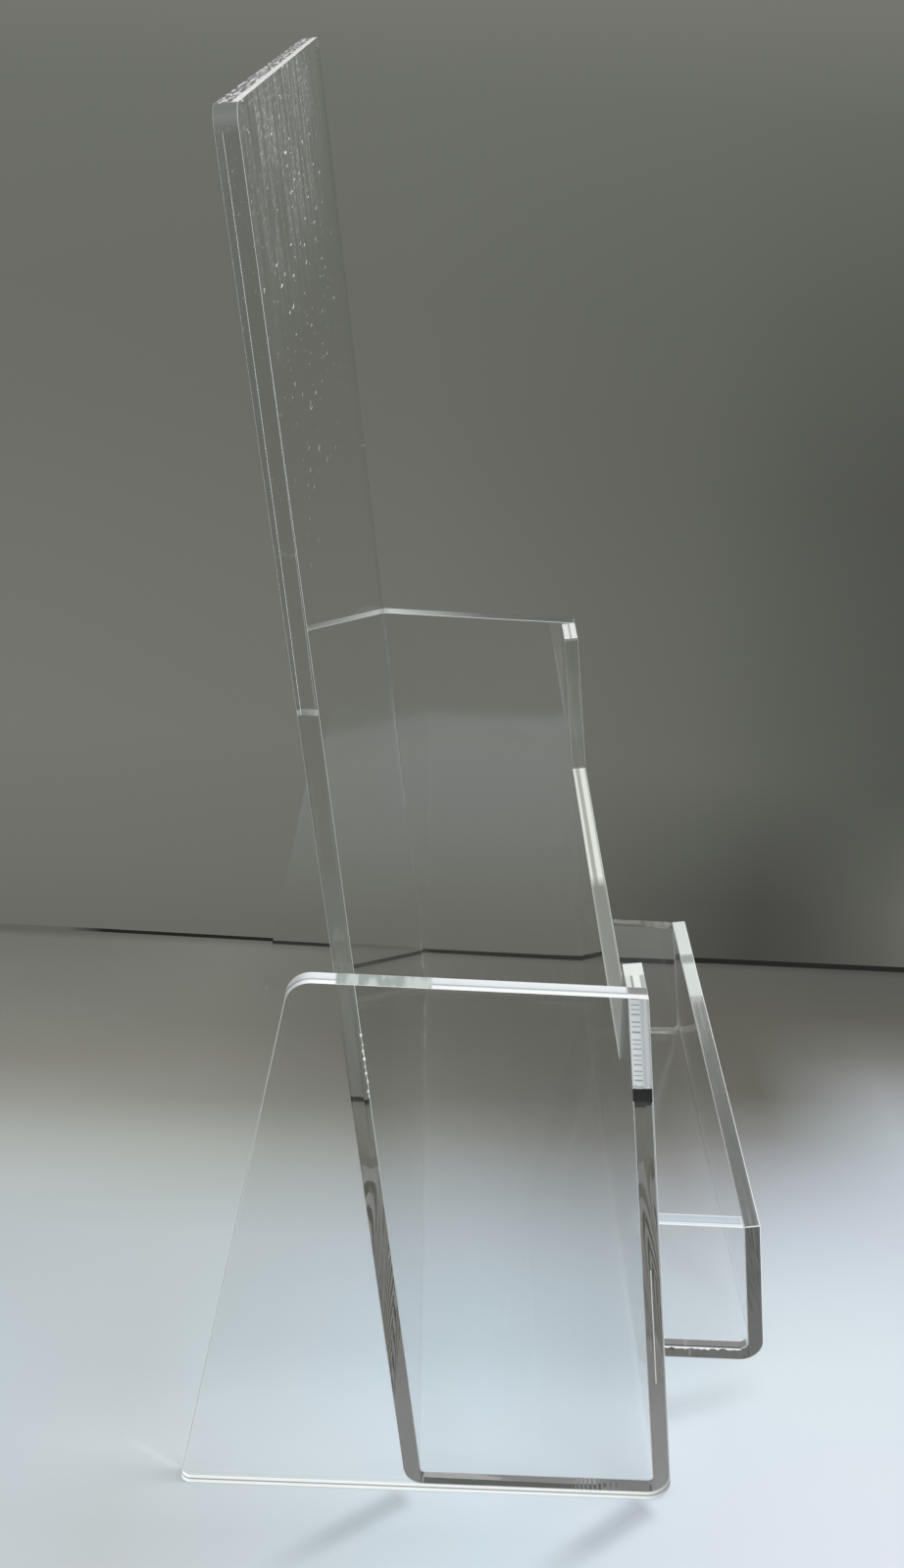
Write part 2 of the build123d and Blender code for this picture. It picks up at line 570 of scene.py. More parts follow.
def cutFloorFinish(name):
    material = dullCut(name, 0.30)
    tree = material.node_tree
    share = throughPanel(tree, frontInner, -1)
    sawn = tones(tree, share, bodySheet["sawnTones"])
    flamed = tones(tree, share, bodySheet["flamedTones"])
    tone = blend(tree, along(tree, (1, 0, 0), *bodySheet["flamedFrom"]), sawn, flamed)
    return paint(material, tinted(tree, tone, bodySheet["floorTint"]))


def tabTopFinish(name):
    material = dullCut(name, 0.25)
    tree = material.node_tree
    share = throughPanel(tree, frontInner, -1)
    paleFrom, pale = bodySheet["leftTabPale"]
    left = tones(tree, share, bodySheet["leftTabTones"])
    left = blend(tree, along(tree, (1, 0, 0), *paleFrom), left, pale)
    right = tones(tree, share, bodySheet["rightTabTones"])
    tone = blend(tree, along(tree, (1, 0, 0), 0.0, 0.001), left, right)
    return paint(material, tinted(tree, tone, bodySheet["tabTint"]))


def chippedAndGlintTopFinish(name):
    material = dullCut(name, 0.12, 0.35)
    tree = material.node_tree
    chips = tones(tree, grain(tree, bodySheet["chipMarks"], 2.0), bodySheet["chipTones"])
    # a painted white highlight along the front edge, laid over the chips
    edge = tones(tree, throughPanel(tree, backInner, 1), bodySheet["frontEdgeGlint"])
    return paint(material, blend(tree, edge, chips, (1.0, 1.0, 1.0)))


def scuffedAcrylic(name):
    # fine scratches and dust on the upper part of the back panel's front face
    material = clearAcrylic(name)
    tree = material.node_tree
    spots = tones(tree, grain(tree, scuffs["spots"], 2.0), scuffs["spotTones"])
    streaks = tones(tree, grain(tree, scuffs["streaks"], 5.0), scuffs["streakTones"])
    trails = tones(tree, grain(tree, scuffs["trails"], 1.0), scuffs["trailTones"])
    haze = times(tree, streaks, trails, along(tree, (0, 0, 1), *scuffs["hazeFrom"]))
    inX = tones(tree, along(tree, (1, 0, 0), bodyLow[0], bodyHigh[0]), scuffs["alongX"])
    cover = reckon(tree, "MAXIMUM", spots, haze)
    dust = tree.nodes.new("ShaderNodeBsdfDiffuse")
    dust.inputs["Color"].default_value = (*scuffs["dust"], 1)
    layOver(tree, times(tree, cover, along(tree, (0, 0, 1), *scuffs["from"]), inX), dust)
    return material


finishes.update({
    "openEnd": openSawnEnd("open_sawn_end"),
    "cutFloor": cutFloorFinish("finger_cut_floor"),
    "tabTop": tabTopFinish("tab_top"),
    "chippedAndGlintTop": chippedAndGlintTopFinish("chipped_and_glint_back_top"),
    "scuffed": scuffedAcrylic("scuffed_acrylic"),
    # the back panel's rounded top corners carry a painted grey tone for the shading of their curve
    "roundedCorner": paint(dullCut("rounded_corner", 0.6, 0.3), (0.27, 0.285, 0.275)),
})


def dryLine():
    # the ragged foot of the dry joint, from the front panel's inside face to its outside face
    rises = bodySheet["dryRises"]
    line = []
    for i, rise in enumerate(rises):
        z, share = bodySheet["dryFrom"] + rise, i / (len(rises) - 1)
        line.append(Vector((frontInner(z) + (frontOuter(z) - frontInner(z)) * share, z)))
    return line


def bodyOutline():
    # the faces inside the pocket, the back panel above the side plates, and the faces outside
    t = sheet["thickness"]
    top = frontHeight - t * sin(sheet["lean"])
    line = [(frontInner(top), top), (frontInner(t), t), (backInner(t), t)]
    line.append((backInner(backHeight), backHeight))
    loop = sheetLoop(line, sheet["bendRadius"], t)
    insideEnd = 1 + 2 * (sheet["bendSteps"] + 1)
    inside, outside = loop[:insideEnd], loop[insideEnd + 2:]
    inside.insert(1, dryLine()[0])
    outside.insert(len(outside) - 1, dryLine()[-1])
    above = [Vector((backInner(frontHeight), frontHeight)), *loop[insideEnd:insideEnd + 2],
             Vector((backOuter(frontHeight), frontHeight))]
    return inside, above, outside


def jointFace(inside, above, outside):
    # the part of a side plate and of the sheet's end that is cemented
    return inside[1:] + [above[0], above[-1]] + outside[:-1] + dryLine()[-2:0:-1]


def cutFingerOpening(piece, left, right, edgeTop):
    t, depth, corner = sheet["thickness"], bodySheet["cutDepth"], bodySheet["cutCorner"]
    corners = [(left, t), (left, 0), (left + bodySheet["slantRun"], -depth), (right, -depth), (right, t)]
    outline = roundedLoop(corners, [0, 0, corner, corner, 0], 6)

    def onPanel(point, across):
        return edgeTop + Vector((point[0], 0, 0)) + panelUp * point[1] + panelBack * across

    near, far = ([onPanel(point, across) for point in outline] for across in (t, -2 * t))
    walls = [[near[i - 1], near[i], far[i], far[i - 1]] for i in range(len(outline))]
    cutAway(piece, solid("cutter", [near, far] + walls))
    for x in (left, right):
        roundCorner(piece, onPanel((x, 0), -t / 2), bodySheet["tabCorner"])


def markLeftJoint(piece, endX, inside, above, outside):
    # each kind of mark lies in its own layer of the gap between the sheet's end and the plate
    gap, width = sheet["cementGap"], bodySheet["jointLine"]
    strips = []
    for line, aside in ((inside + above[:1], width), (outside[::-1], -width)):
        shifted = shiftedLine(line, aside)
        for corners in zip(line, line[1:], shifted[1:], shifted):
            strips.append(standAt(endX - gap / 2, corners))
    addStrips(piece, strips, "jointLine")
    chance = random.Random(7)
    low, high = bodySheet["bubblesBetween"]
    blobs = []
    for i in range(bodySheet["bubbles"]):
        z = low + (high - low) * (i + chance.uniform(0.1, 0.9)) / bodySheet["bubbles"]
        size = chance.uniform(*bodySheet["bubbleSizes"])
        y = backInner(z) + chance.uniform(0.0, bodySheet["bubblesAside"])
        ring = arc(Vector((y, z)), size / 2, 0, 2 * pi, 8)[:-1]
        blobs.append([(p[0], p[1] + (p[1] - z) * chance.uniform(0, 1.5)) for p in ring])
    z0, z1 = bodySheet["cementLine"]
    y0, y1 = ((frontInner(z) + frontOuter(z)) / 2 for z in (z0, z1))
    blobs.append([(y0, z0), (y1, z1), (y1 + width, z1), (y0 + width, z0)])
    addStrips(piece, [standAt(endX - gap * 0.7, blob) for blob in blobs], "whiteCement")
    z0, z1 = bodySheet["dryFoot"]
    z2 = z1 + bodySheet["dryFootRise"]
    foot = [(frontInner(z0), z0), (frontOuter(z0), z0), (frontOuter(z1), z2), (frontInner(z1), z1)]
    addStrips(piece, [standAt(endX - gap * 0.6, foot)], "darkCement")


def makeBodySheet():
    half = (bodyHigh[0] - bodyLow[0]) / 2 - sheet["cementGap"]
    inside, above, outside = bodyOutline()
    caps = [[outside[-1], inside[0]] + dryLine(), jointFace(inside, above, outside), above]
    piece = prism("body_sheet_acrylic", inside + above + outside, -half, half, caps, caps)
    backTop = Vector((0, backInner(backHeight), backHeight)) + panelBack * sheet["thickness"] / 2
    for side in (-half, half):
        roundCorner(piece, backTop + Vector((side, 0, 0)), bodySheet["backCorner"], 8)
    left, right = bodySheet["leftTab"] - half, half - bodySheet["rightTab"]
    cutFingerOpening(piece, left, right, Vector((0, inside[0].x, inside[0].y)))
    scuffFoot, cutFloor = scuffs["from"][0], frontHeight - bodySheet["cutDepth"]
    score(piece, (0, 0, scuffFoot), (0, 0, 1))
    aboveBends, nearTop = 0.02, backHeight - 0.025

    def finishOf(centre, normal):
        if abs(normal.x) > 0.99 and abs(centre.x) > half - 1e-5:
            if centre.z > frontHeight:
                return "polished"
            return "openEnd" if centre.x < 0 and centre.z > bodySheet["dryFrom"] else "joined"
        if centre.z > nearTop and 0.05 < abs(normal.x) < 0.97 and normal.dot(panelUp) > 0.05:
            return "roundedCorner"
        if centre.z > aboveBends and abs(normal.dot(panelUp)) > 0.9:
            if centre.z > nearTop:
                return "chippedAndGlintTop"
            return "tabTop" if centre.x < left or centre.x > right else "cutFloor"
        if centre.z > aboveBends and abs(normal.x) > 0.1:
            return "sawnCrosswise"
        return "scuffed" if centre.z > scuffFoot and normal.y < -0.9 else "polished"


    def isSharp(place):
        # at the right end of the cut's floor
        return place.x > right - 0.007 and abs(place.z - cutFloor) < 0.002

    finishFaces(piece, finishOf, isSharp)
    markLeftJoint(piece, -half, inside, above, outside)
    standsFor(piece, "body_sheet")


makeBodySheet()
print("body sheet")

sidePlate = {
    "footReach": 0.0395,
    "shoulderReach": 0.0065,
    "shoulder": 0.004,
    "heel": 0.0015,
    "leftEdgeRound": 0.00032,
    # the left plate's top edge, from its inner face to its outer face, in painted light and shade: light
    # carried up inside the plate, and a painted white highlight towards its outer face
    "topTones": ((0.0, (0.74, 0.78, 0.80)), (0.10, (0.84, 0.88, 0.91)), (0.52, (0.74, 0.79, 0.83)),
                 (0.58, (0.42, 0.45, 0.47)), (0.66, (0.46, 0.50, 0.52)), (0.72, (0.97, 0.99, 1.0))),
    "overTab": (-0.0144, -0.0149),  # in Y, darker in front of here
    "overTabTones": ((0.0, 0.24), (0.60, 0.28), (0.68, 0.95), (1.0, 0.98)),
    # painted shade: where the back panel is cemented below, the light carried in the plate leaks out into
    # the joint
    "overBack": (0.0148, 0.0291),  # in Y, ragged and darker between these
    "overBackFade": 0.0003,
    "overBackMarks": (150.0, 700.0, 0.0),
    "overBackTones": ((0.0, (0.27, 0.31, 0.30)), (0.42, (0.36, 0.42, 0.40)), (0.55, (0.58, 0.64, 0.62)),
                      (1.0, (0.72, 0.76, 0.75))),
    # the left plate's other edges, across its thickness: painted white highlights near both faces, darker
    # in the middle
    "edgeTones": ((0.34, 1.0), (0.42, 0.30), (0.56, 0.34), (0.62, 1.0)),
    "edgeTint": (0.97, 1.0, 0.99),
    # the right plate's top edge, from front to back
    "rightTopAlong": (-0.0177, 0.0270),
    "rightTopTones": ((0.0, 0.16), (0.45, 0.22), (0.75, 0.55), (0.95, 0.85), (1.0, 0.40)),
    "rightTopTint": (0.95, 1.0, 0.97),
}


def throughLeftPlate(tree):
    return along(tree, (-1, 0, 0), plateLow[0], plateHigh[0])


def plateTopFinish(name):
    material = dullCut(name, 0.25)
    tree = material.node_tree
    share = throughLeftPlate(tree)
    tone = tones(tree, share, sidePlate["topTones"])
    tabTone = tones(tree, share, sidePlate["overTabTones"])
    tone = blend(tree, along(tree, (0, 1, 0), *sidePlate["overTab"]), tone, tabTone)
    # painted shade over the joint with the back panel
    (low, high), fade = sidePlate["overBack"], sidePlate["overBackFade"]
    behindFront = along(tree, (0, 1, 0), low - fade, low)
    overBack = times(tree, behindFront, along(tree, (0, 1, 0), high, high - fade))
    backTone = tones(tree, grain(tree, sidePlate["overBackMarks"], 1.0), sidePlate["overBackTones"])
    return paint(material, blend(tree, overBack, tone, backTone))


def plateEdgeFinish(name):
    material = dullCut(name, 0.15)
    tree = material.node_tree
    tone = tones(tree, throughLeftPlate(tree), sidePlate["edgeTones"])
    return paint(material, tinted(tree, tone, sidePlate["edgeTint"]))


def rightTopFinish(name):
    material = dullCut(name, 0.5, 0.3)
    tree = material.node_tree
    tone = tones(tree, along(tree, (0, 1, 0), *sidePlate["rightTopAlong"]), sidePlate["rightTopTones"])
    return paint(material, tinted(tree, tone, sidePlate["rightTopTint"]))


finishes.update({
    "plateTop": plateTopFinish("side_plate_top"),
    # the left plate's edges and softened rims carry painted white highlights
    "plateEdge": plateEdgeFinish("side_plate_edge"),
    "plateRim": paint(dullCut("side_plate_rim", 0.12), (1.0, 1.0, 0.99)),
    "rightTop": rightTopFinish("right_plate_top"),
})


def makeSidePlate(node, isLeft):
    low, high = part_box(node)
    bend = sheet["bendSteps"] + 1
    inside, above, outside = bodyOutline()
    heelAt = Vector((backOuter(0) + sidePlate["footReach"], 0))
    shoulderAt = Vector((backOuter(frontHeight) + sidePlate["shoulderReach"], frontHeight))
    # the part behind the back panel, for its rounded heel and shoulder
    behind = roundedLoop([heelAt, (0, 0), (backInner(0), frontHeight), shoulderAt],
                         [sidePlate["heel"], 0, 0, sidePlate["shoulder"]], 10)
    heel, shoulder = behind[:11], behind[-11:]
    loop = heel + outside[bend - 1:] + [above[0], above[-1]] + shoulder
    # the inner face is parted where the sheet's end is cemented to it
    rear = [above[-1]] + outside[:bend] + heel[::-1] + shoulder[::-1]
    pocket = [outside[-1]] + inside + above[:1]
    dry = [outside[-1], inside[0]] + dryLine()
    cemented = jointFace(inside, above, outside)
    cementedZ = sum(point.y for point in cemented) / len(cemented)
    innerX, outerX = (high[0], low[0]) if isLeft else (low[0], high[0])
    piece = prism(node + "_acrylic", loop, innerX, outerX, [rear, pocket, dry, cemented], [loop])

    def finishOf(centre, normal):
        if abs(normal.x) > 0.5:
            onInner = abs(centre.x - innerX) < 1e-5
            return "joined" if onInner and abs(centre.z - cementedZ) < 1e-6 else "polished"
        onTop = normal.z > 0.5 and centre.z > 0.09
        if isLeft:
            return "plateTop" if onTop else "plateEdge"
        if normal.z < -0.9:
            return "joined"
        return "rightTop" if onTop else "polished"

    if isLeft:
        finishFaces(piece, finishOf, rounding=sidePlate["leftEdgeRound"], rim="plateRim")
    else:
        finishFaces(piece, finishOf, lambda place: place.z < frontHeight - 0.001)
    standsFor(piece, node)


makeSidePlate("side_plate_left", True)
makeSidePlate("side_plate_right", False)
print("side plates")

cardPocket = {
    "depth": 0.018,
    "floor": 0.011,
    "lip": 0.040,
    "lean": radians(9.3),
    "thickness": 0.003,
    "bendRadius": 0.0012,
    "clearTo": 0.0215,  # in X; the rest of the lip's top is dull
    "lipTones": ((0.0, (0.74, 0.82, 0.78)), (0.05, (0.78, 0.86, 0.82)), (0.38, (0.80, 0.87, 0.84)),
                 (0.42, (0.36, 0.42, 0.40)), (0.49, (0.40, 0.46, 0.44)), (0.52, (0.84, 0.90, 0.87)),
                 (1.0, (0.80, 0.87, 0.84))),
    "lipTonesTo": 0.055,
    "endTopTones": ((0.14, (0.72, 0.78, 0.82)), (0.2, (0.52, 0.58, 0.64)), (0.66, (0.60, 0.67, 0.74)),
                    (0.72, (0.40, 0.44, 0.48)), (0.78, (0.80, 0.86, 0.92))),
    # the cement under the left end
    "cementInset": (0.0012, 0.0005),  # from the lip and from the front panel
    "cementSteps": 26,
    "cementBelow": 0.00018,
    "cementAbove": 0.00012,
    "cementDrop": (0.00015, 0.0007),
}


def lipTopFinish(name):
    material = dullCut(name, 0.30)
    tree = material.node_tree
    share = along(tree, (1, 0, 0), cardPocket["clearTo"], cardPocket["lipTonesTo"])
    return paint(material, tones(tree, share, cardPocket["lipTones"]))


def endTopFinish(name):
    # from the inner face of the left end to its outer face
    low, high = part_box("card_pocket_end_left")
    material = dullCut(name, 0.30)
    tree = material.node_tree
    share = along(tree, (1, 0, 0), high[0], low[0])
    return paint(material, tones(tree, share, cardPocket["endTopTones"]))


finishes.update({
    "lipTop": lipTopFinish("lip_top"),
    "endTop": endTopFinish("card_end_top"),
    "sheetEnd": paint(clearAcrylic("card_sheet_end", 0.02), (0.36, 0.36, 0.335)),
})


def lipInner(z):
    foot = frontOuter(cardPocket["floor"]) - cardPocket["depth"]
    return foot + (z - cardPocket["floor"]) * tan(cardPocket["lean"])


def markLeftEnd(piece, endX):
    # a ragged line of cement between the sheet's floor and the left end, dark above it
    floor, count = cardPocket["floor"], cardPocket["cementSteps"]
    fromLip, fromPanel = cardPocket["cementInset"]
    y0, y1 = lipInner(floor) + fromLip, frontOuter(floor) - fromPanel
    above, below = floor + cardPocket["cementAbove"], floor - cardPocket["cementBelow"]
    chance = random.Random(3)
    drops = [chance.uniform(*cardPocket["cementDrop"]) for i in range(count + 1)]
    places = [y0 + (y1 - y0) * i / count for i in range(count + 1)]
    strips = []
    for a, b, dropA, dropB in zip(places, places[1:], drops, drops[1:]):
        strips.append(standAt(endX, [(a, below), (b, below), (b, below - dropB), (a, below - dropA)]))
    addStrips(piece, strips, "whiteCement")
    addStrips(piece, [standAt(endX, [(y0, above), (y1, above), (y1, below), (y0, below)])], "darkCement")


def makeCardSheet():
    low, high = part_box("card_pocket_sheet")
    floor, lip, gap = cardPocket["floor"], cardPocket["lip"], sheet["cementGap"]
    line = [(lipInner(lip), lip), (lipInner(floor), floor), (frontOuter(floor) - gap, floor)]
    loop = sheetLoop(line, cardPocket["bendRadius"], cardPocket["thickness"])
    # the floor's end follows the leaning front panel
    for point in loop:
        if point.x > frontOuter(floor) - 0.0015:
            point.x = frontOuter(point.y) - gap
    piece = prism("card_pocket_sheet_acrylic", loop, low[0], high[0])
    score(piece, (cardPocket["clearTo"], 0, 0), (1, 0, 0))

    def finishOf(centre, normal):
        if normal.z > 0.9 and centre.z > lip - 0.001:
            return "lipTop" if centre.x > cardPocket["clearTo"] else "sawnLengthwise"
        return "sheetEnd" if normal.x < -0.9 else "polished"

    def isSharp(place):
        # against the front panel, and below the lip's top at the right end
        onPanel = place.y > frontOuter(place.z) - 0.0005
        return onPanel or (place.x > high[0] - 0.003 and place.z < lip - 0.001)

    finishFaces(piece, finishOf, isSharp)
    markLeftEnd(piece, low[0] - 0.00001)
    standsFor(piece, "card_pocket_sheet")


def makeCardEnd(node, isLeft):
    low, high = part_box(node)
    floor, lip, gap = cardPocket["floor"], cardPocket["lip"], sheet["cementGap"]
    corners = [(frontOuter(floor + gap) - gap, floor + gap), (lipInner(floor) + gap, floor + gap),
               (lipInner(lip) + gap, lip), (frontOuter(lip) - gap, lip)]
    loop = roundedLoop(corners, [0, cardPocket["bendRadius"], 0, 0])
    piece = prism(node + "_acrylic", loop, low[0], high[0])

    def finishOf(centre, normal):
        if isLeft:
            return "endTop" if normal.z > 0.9 else "polished"
        return "joined" if abs(normal.x) < 0.1 and normal.z < 0.9 else "polished"

    finishFaces(piece, finishOf, lambda place: not isLeft or place.z < lip - 0.001)
    standsFor(piece, node)


makeCardSheet()
makeCardEnd("card_pocket_end_left", True)
makeCardEnd("card_pocket_end_right", False)
print("card pocket")

table = {
    "size": 120.0,
    "drop": 0.0001,
    "span": (-0.12, 0.10),  # in Y, for the two lines below
    "edge": ((0.0, 0.1024), (0.24, 0.1022), (0.45, 0.1012), (0.62, 0.1012), (1.0, 0.1024)),  # in X
    # a painted line of shade along the table where it meets the wall: its width across Y, its tone, and
    # where it fades out in Y
    "shadeLineWidth": ((0.0, 0.0027), (0.30, 0.0026), (0.50, 0.0021), (0.62, 0.0017)),
    "shadeLineTone": (0.012, 0.012, 0.012),
    "shadeLineFades": (0.108, 0.098),  # in Y
    # daylight falling off across the table: for several places in Y, its tones along X
    "daylight": {
        -0.100: (
            (-0.083, (0.61, 0.65, 0.71)), (-0.047, (0.57, 0.64, 0.69)),
            (-0.019, (0.53, 0.58, 0.64)), (0.013, (0.42, 0.46, 0.51)), (0.027, (0.36, 0.40, 0.42)),
            (0.042, (0.28, 0.29, 0.30)), (0.059, (0.15, 0.152, 0.14)),
            (0.076, (0.094, 0.093, 0.08)), (0.095, (0.08, 0.079, 0.072)),
        ),
        -0.070: (
            (-0.083, (0.61, 0.65, 0.71)), (-0.047, (0.59, 0.66, 0.70)),
            (-0.026, (0.54, 0.60, 0.65)), (-0.008, (0.46, 0.51, 0.57)), (0.011, (0.34, 0.36, 0.39)),
            (0.026, (0.205, 0.207, 0.20)), (0.041, (0.115, 0.113, 0.095)),
            (0.074, (0.097, 0.095, 0.08)), (0.095, (0.09, 0.09, 0.079)),
        ),
        -0.045: (
            (-0.085, (0.59, 0.64, 0.70)), (-0.049, (0.61, 0.68, 0.73)),
            (-0.027, (0.54, 0.60, 0.65)), (-0.01, (0.44, 0.48, 0.51)), (0.01, (0.28, 0.28, 0.28)),
            (0.024, (0.173, 0.168, 0.155)), (0.039, (0.125, 0.126, 0.11)),
            (0.055, (0.105, 0.105, 0.086)), (0.095, (0.10, 0.10, 0.088)),
        ),
        0.0: (
            (-0.088, (0.54, 0.62, 0.68)), (-0.069, (0.70, 0.78, 0.85)),
            (-0.051, (0.67, 0.77, 0.85)), (-0.03, (0.58, 0.67, 0.74)), (-0.012, (0.51, 0.56, 0.61)),
            (0.007, (0.38, 0.41, 0.415)), (0.021, (0.27, 0.27, 0.25)),
            (0.035, (0.169, 0.169, 0.147)), (0.051, (0.144, 0.141, 0.123)),
            (0.068, (0.122, 0.121, 0.103)), (0.095, (0.125, 0.125, 0.107)),
        ),
        0.065: (
            (-0.089, (0.48, 0.52, 0.535)), (-0.072, (0.55, 0.60, 0.62)),
            (-0.053, (0.49, 0.54, 0.56)), (-0.016, (0.48, 0.53, 0.54)),
            (0.002, (0.42, 0.455, 0.44)), (0.015, (0.37, 0.385, 0.36)),
            (0.03, (0.25, 0.254, 0.227)), (0.045, (0.214, 0.213, 0.186)),
            (0.061, (0.181, 0.182, 0.156)), (0.095, (0.17, 0.174, 0.15)),
        ),
        0.100: (
            (-0.09, (0.51, 0.57, 0.61)), (-0.055, (0.49, 0.55, 0.59)), (-0.018, (0.45, 0.50, 0.52)),
            (0.0, (0.44, 0.47, 0.47)), (0.013, (0.38, 0.40, 0.386)), (0.027, (0.29, 0.293, 0.267)),
            (0.043, (0.217, 0.216, 0.188)), (0.075, (0.171, 0.175, 0.152)),
            (0.095, (0.15, 0.154, 0.133)),
        ),
    },
    "daylightSpan": (-0.10, 0.10),  # in X
    "edgeShade": (0.0965, 0.1000, 0.30),
    # contact shadows and one glint: start, end, half width and depth
    "shadows": (
        ((-0.0795, 0.0125), (-0.0975, 0.0380), 0.0036, 0.30),
        ((-0.0795, -0.0300), (-0.0975, -0.0070), 0.0042, 0.36),
        ((-0.0590, -0.0330), (-0.0500, -0.0560), 0.0055, 0.17),
        ((0.000, -0.0300), (-0.045, -0.0620), 0.0060, 0.06),
        ((-0.0765, 0.0530), (-0.0690, 0.0650), 0.0012, -0.10),
    ),
    "shadowAcross": ((0.0, 1.0), (0.35, 0.75), (0.7, 0.2), (1.0, 0.0)),
    "shadowAlong": ((0.0, 0.0), (0.08, 1.0), (0.5, 0.75), (1.0, 0.0)),
    "mirroredFrom": (-0.095, -0.112),  # in X, where mirrors and glass see shade instead of the table
    "mirroredTone": (0.08, 0.08, 0.075),
    "deepFrom": 6.5,  # bounces; what has run a long way inside a sheet comes out duller
    "deepTint": (0.66, 0.68, 0.66),
}
# the wall glows, in painted light and shade: lighter and darker up it, to the side and at its foot
wall = {
    "tone": (0.152, 0.157, 0.136),
    "mirroredTint": (0.95, 0.95, 0.95),
    "rise": ((0.0, (0.184, 0.190, 0.168)), (0.05, (0.175, 0.181, 0.160)), (0.124, (0.153, 0.159, 0.140)),
             (0.205, (0.146, 0.152, 0.133)), (0.30, (0.141, 0.147, 0.128)), (0.40, (0.144, 0.149, 0.130)),
             (0.58, (0.157, 0.163, 0.142)), (0.75, (0.166, 0.172, 0.150)), (0.90, (0.150, 0.155, 0.135)),
             (1.0, (0.132, 0.136, 0.118))),
    "riseTo": 2.56,
    "asideSpan": (-0.6, 0.4),
    "aside": ((0.0, 0.45), (0.30, 0.53), (0.38, 0.64), (0.45, 0.79), (0.62, 0.98), (0.85, 1.04),
              (1.0, 1.06)),
    "asideBelow": (-0.05, 1.2),  # the shade at the side sets in further down the wall
    "foot": ((0.0, 1.75), (0.30, 1.62), (0.315, 1.34), (0.33, 1.18), (0.345, 1.0), (0.37, 0.80),
             (0.40, 0.66), (0.45, 0.74), (0.52, 0.87), (0.62, 1.0)),
    "footFrom": (1.98, 2.36),
}
room = {
    # what mirrors and glass see, and what lights the table and dull faces:
    # each lobe has its direction, where it starts and peaks, and its level
    "mirrored": {"all round": 0.12, "tint": (1.0, 1.0, 0.97), "lobes": (
        ((-0.35, -0.85, 0.40), 0.45, 0.95, 1.2),
        ((-0.75, 0.0, 0.65), 0.4, 1.0, 0.40),
        ((1.0, 0.0, 0.30), 0.3, 0.8, 0.06),
    )},
    "lighting": {"all round": 0.18, "tint": (1.0, 1.0, 1.0), "lobes": (
        ((-0.55, -0.45, 0.7), -0.1, 1.0, 0.95),
    )},
    # lamps: place, size and power, all turned to one point
    "window": ((-0.02, -0.95, 0.75), (0.50, 0.60), 7.0),
    "ceiling panel": ((-0.50, -0.10, 1.10), (0.6, 0.6), 3.2),
    "aim": (0, 0, 0.05),
}


def daylightTone(tree, axes):
    low, high = table["daylightSpan"]
    tone, lastY = None, None
    for y, stops in table["daylight"].items():
        stops = [((x - low) / (high - low), color) for x, color in stops]
        strip = tones(tree, between(tree, axes["X"], low, high), stops)
        tone = blend(tree, between(tree, axes["Y"], lastY, y), tone, strip) if tone else strip
        lastY = y
    return tone


def shadowShare(tree, axes, start, end, width):
    # how dark it is at a place beside a line from start to end
    run = Vector(end) - Vector(start)
    fromX, fromY = (reckon(tree, "SUBTRACT", axes[axis], begin) for axis, begin in zip("XY", start))

    def reach(x, y):
        return reckon(tree, "ADD", times(tree, fromX, x), times(tree, fromY, y))

    square, across = run.length_squared, run.length * width
    down = reach(run.x / square, run.y / square)
    off = reckon(tree, "ABSOLUTE", reach(-run.y / across, run.x / across))
    return times(tree, tones(tree, off, table["shadowAcross"]), tones(tree, down, table["shadowAlong"]))


def shadeShare(tree, axes):
    low, high, depth = table["edgeShade"]
    dim = reckon(tree, "SUBTRACT", 1.0, times(tree, between(tree, axes["X"], low, high), depth))
    for start, end, width, depth in table["shadows"]:
        shadow = times(tree, shadowShare(tree, axes, start, end, width), depth)
        dim = times(tree, dim, reckon(tree, "SUBTRACT", 1.0, shadow))
    return dim


def tableTone(tree, axes, rays, edge):
    tone = tinted(tree, daylightTone(tree, axes), shadeShare(tree, axes))
    # a painted dark line of shade just before the table's edge
    shadeLineWidth = tones(tree, between(tree, axes["Y"], *table["span"]), table["shadeLineWidth"])
    inShadeLine = reckon(tree, "GREATER_THAN", axes["X"], reckon(tree, "SUBTRACT", edge, shadeLineWidth))
    gap = times(tree, inShadeLine, between(tree, axes["Y"], *table["shadeLineFades"]))
    tone = blend(tree, gap, tone, table["shadeLineTone"])
    mirrored = reckon(tree, "MAXIMUM", rays["Is Glossy Ray"], rays["Is Transmission Ray"])
    shaded = between(tree, axes["X"], *table["mirroredFrom"], "SMOOTHSTEP")
    tone = blend(tree, times(tree, mirrored, shaded), tone, table["mirroredTone"])
    deep = reckon(tree, "GREATER_THAN", rays["Ray Depth"], table["deepFrom"])
    return blend(tree, deep, tone, tinted(tree, tone, table["deepTint"]))


def wallTone(tree, axes, rays):
    # painted light and shade on the glowing wall; nearness falls with the distance from the camera, so
    # the tones run up the wall
    reach = reckon(tree, "SUBTRACT", axes["X"], viewpoint["place"][0])
    nearness = reckon(tree, "DIVIDE", 1.0, reach)
    aside = between(tree, reckon(tree, "DIVIDE", axes["Y"], reach), *wall["asideSpan"])
    shade = tones(tree, aside, wall["aside"])
    shade = blend(tree, between(tree, nearness, *wall["asideBelow"]), (1.0, 1.0, 1.0), shade)
    foot = tinted(tree, shade, tones(tree, aside, wall["foot"]))
    shade = blend(tree, between(tree, nearness, *wall["footFrom"]), shade, foot)
    shade = blend(tree, rays["Is Camera Ray"], wall["mirroredTint"], shade)
    return tinted(tree, tones(tree, between(tree, nearness, 0.0, wall["riseTo"]), wall["rise"]), shade)


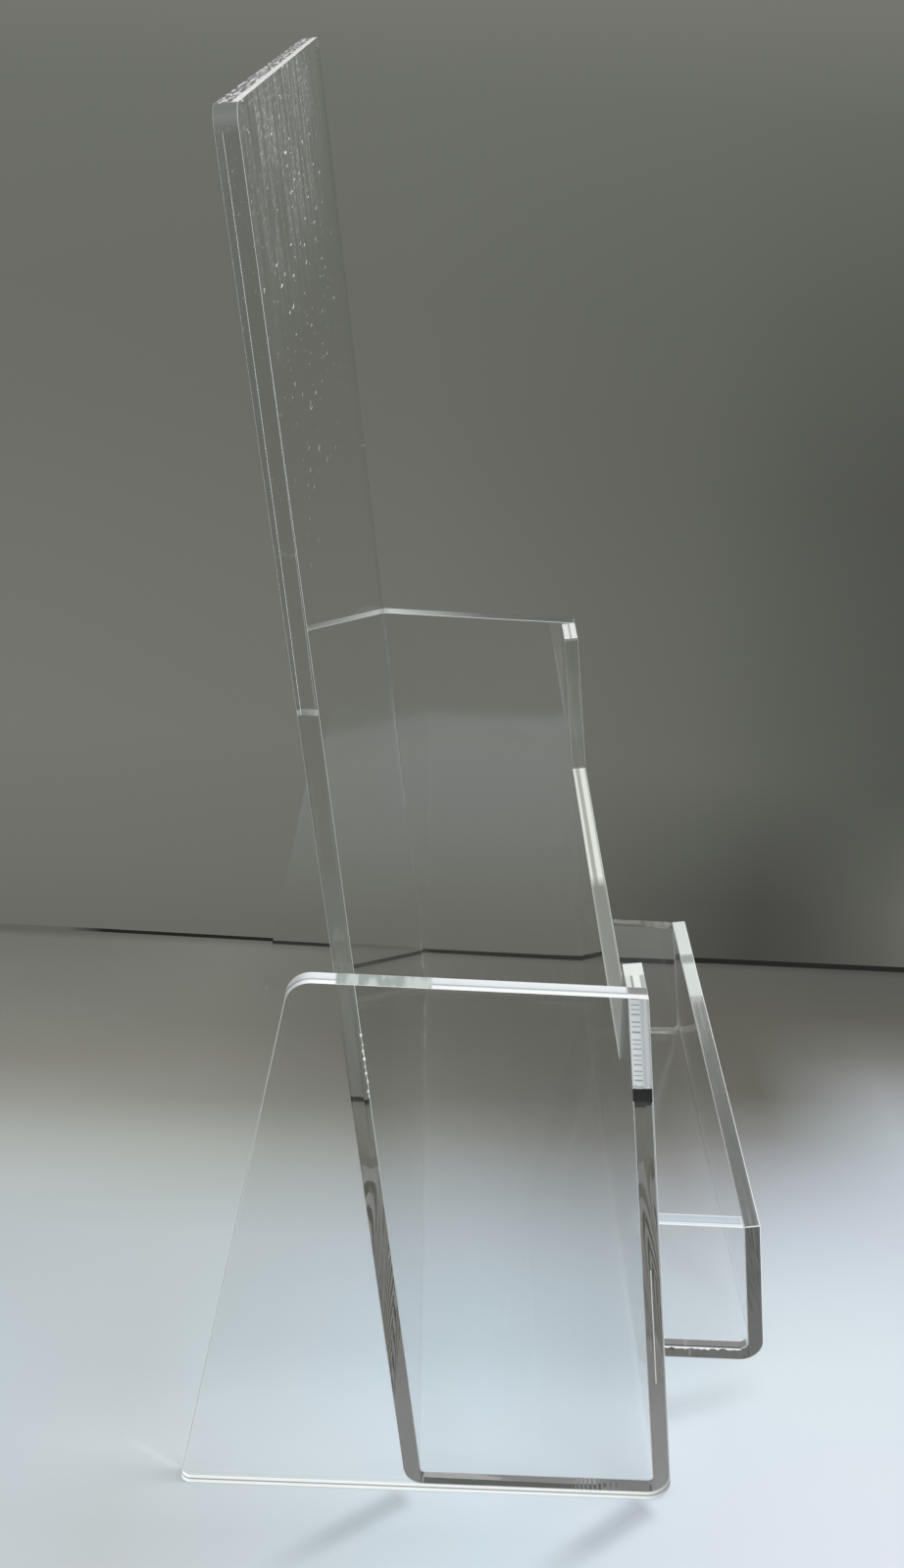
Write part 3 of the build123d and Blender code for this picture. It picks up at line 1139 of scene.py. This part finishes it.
def makeTableAndWall():
    half, z = table["size"] / 2, -table["drop"]
    corners = [(-half, -half, z), (half, -half, z), (half, half, z), (-half, half, z)]
    plane = solid("table", [corners])
    material, tree, shader = newMaterial("table")
    axes = axesIn(tree)
    rays = tree.nodes.new("ShaderNodeLightPath").outputs
    edge = tones(tree, between(tree, axes["Y"], *table["span"]), table["edge"])
    paint(material, tableTone(tree, axes, rays, edge))
    shader.inputs["Roughness"].default_value = 0.9
    shader.inputs["Specular IOR Level"].default_value = 0.1
    # beyond its edge the plane glows as the wall, in painted light and shade
    lit = tree.nodes.new("ShaderNodeEmission")
    tree.links.new(wallTone(tree, axes, rays), lit.inputs["Color"])
    layOver(tree, reckon(tree, "GREATER_THAN", axes["X"], edge), lit)
    plane.data.materials.append(material)


def glow(tree, direction, levels):
    total = levels["all round"]
    for lobe, low, high, level in levels["lobes"]:
        facing = vectorNode(tree, "DOT_PRODUCT", direction, Vector(lobe).normalized(), "Value")
        total = reckon(tree, "ADD", between(tree, facing, low, high, "SMOOTHSTEP", level), total)
    return tinted(tree, total, levels["tint"])


def makeRoom():
    world = bpy.data.worlds.new("room")
    scene.world = world
    world.use_nodes = True
    tree = world.node_tree
    direction = tree.nodes.new("ShaderNodeTexCoord").outputs["Generated"]
    rays = tree.nodes.new("ShaderNodeLightPath").outputs
    seen = blend(tree, rays["Is Camera Ray"], glow(tree, direction, room["mirrored"]), wall["tone"])
    seen = blend(tree, rays["Is Diffuse Ray"], seen, glow(tree, direction, room["lighting"]))
    tree.links.new(seen, tree.nodes["Background"].inputs["Color"])


def addLamp(name):
    place, size, power = room[name]
    lamp = bpy.data.objects.new(name, bpy.data.lights.new(name, "AREA"))
    scene.collection.objects.link(lamp)
    lamp.data.shape = "RECTANGLE"
    lamp.data.size, lamp.data.size_y = size
    lamp.data.energy = power
    lamp.location = place
    facing = Vector(room["aim"]) - Vector(place)
    lamp.rotation_euler = facing.to_track_quat("-Z", "Y").to_euler()


makeTableAndWall()
makeRoom()
addLamp("window")
addLamp("ceiling panel")
# light runs a long way inside the sheets before it comes out at an edge
scene.cycles.max_bounces = 80
scene.cycles.glossy_bounces = 80
scene.cycles.transmission_bounces = 64
scene.cycles.transparent_max_bounces = 32
scene.view_settings.view_transform = "Standard"
print("table, wall and light")
